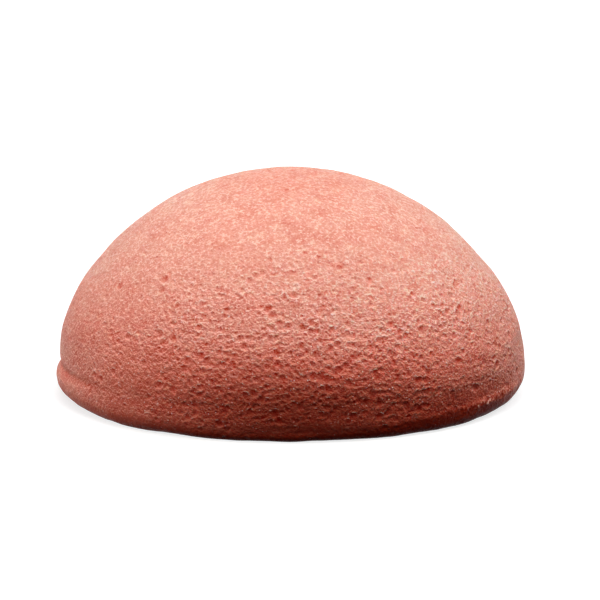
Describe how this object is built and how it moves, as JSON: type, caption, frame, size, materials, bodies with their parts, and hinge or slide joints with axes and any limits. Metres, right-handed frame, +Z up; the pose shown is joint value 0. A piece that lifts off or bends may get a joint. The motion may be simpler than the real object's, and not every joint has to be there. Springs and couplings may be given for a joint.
{
  "type": "konjac sponge",
  "caption": "Coral pink half-ball konjac sponge, damp and fine-celled, with a low dome, a soft rolled bead round its lower edge and a flat side to rest on.",
  "frame": {"origin": "centre of the flat side, on the surface that the sponge rests on", "axes": "+Z up through the top of the dome, along the axis that the outline is turned about; the picture looks along +Y with +X to its right"},
  "size_m": [0.08, 0.08, 0.039],
  "materials": {
    "core_foam": "damp coarse open-celled foam",
    "dome_foam": "damp fine-celled foam skin with open pits",
    "rim_foam": "damp dense fine-celled foam",
    "base_foam": "damp fine-celled foam skin, flat"
  },
  "bodies": {
    "root": {"konjac_core": "core_foam", "dome_skin": "dome_foam", "rim_bead": "rim_foam", "base_skin": "base_foam"}
  },
  "joints": []
}
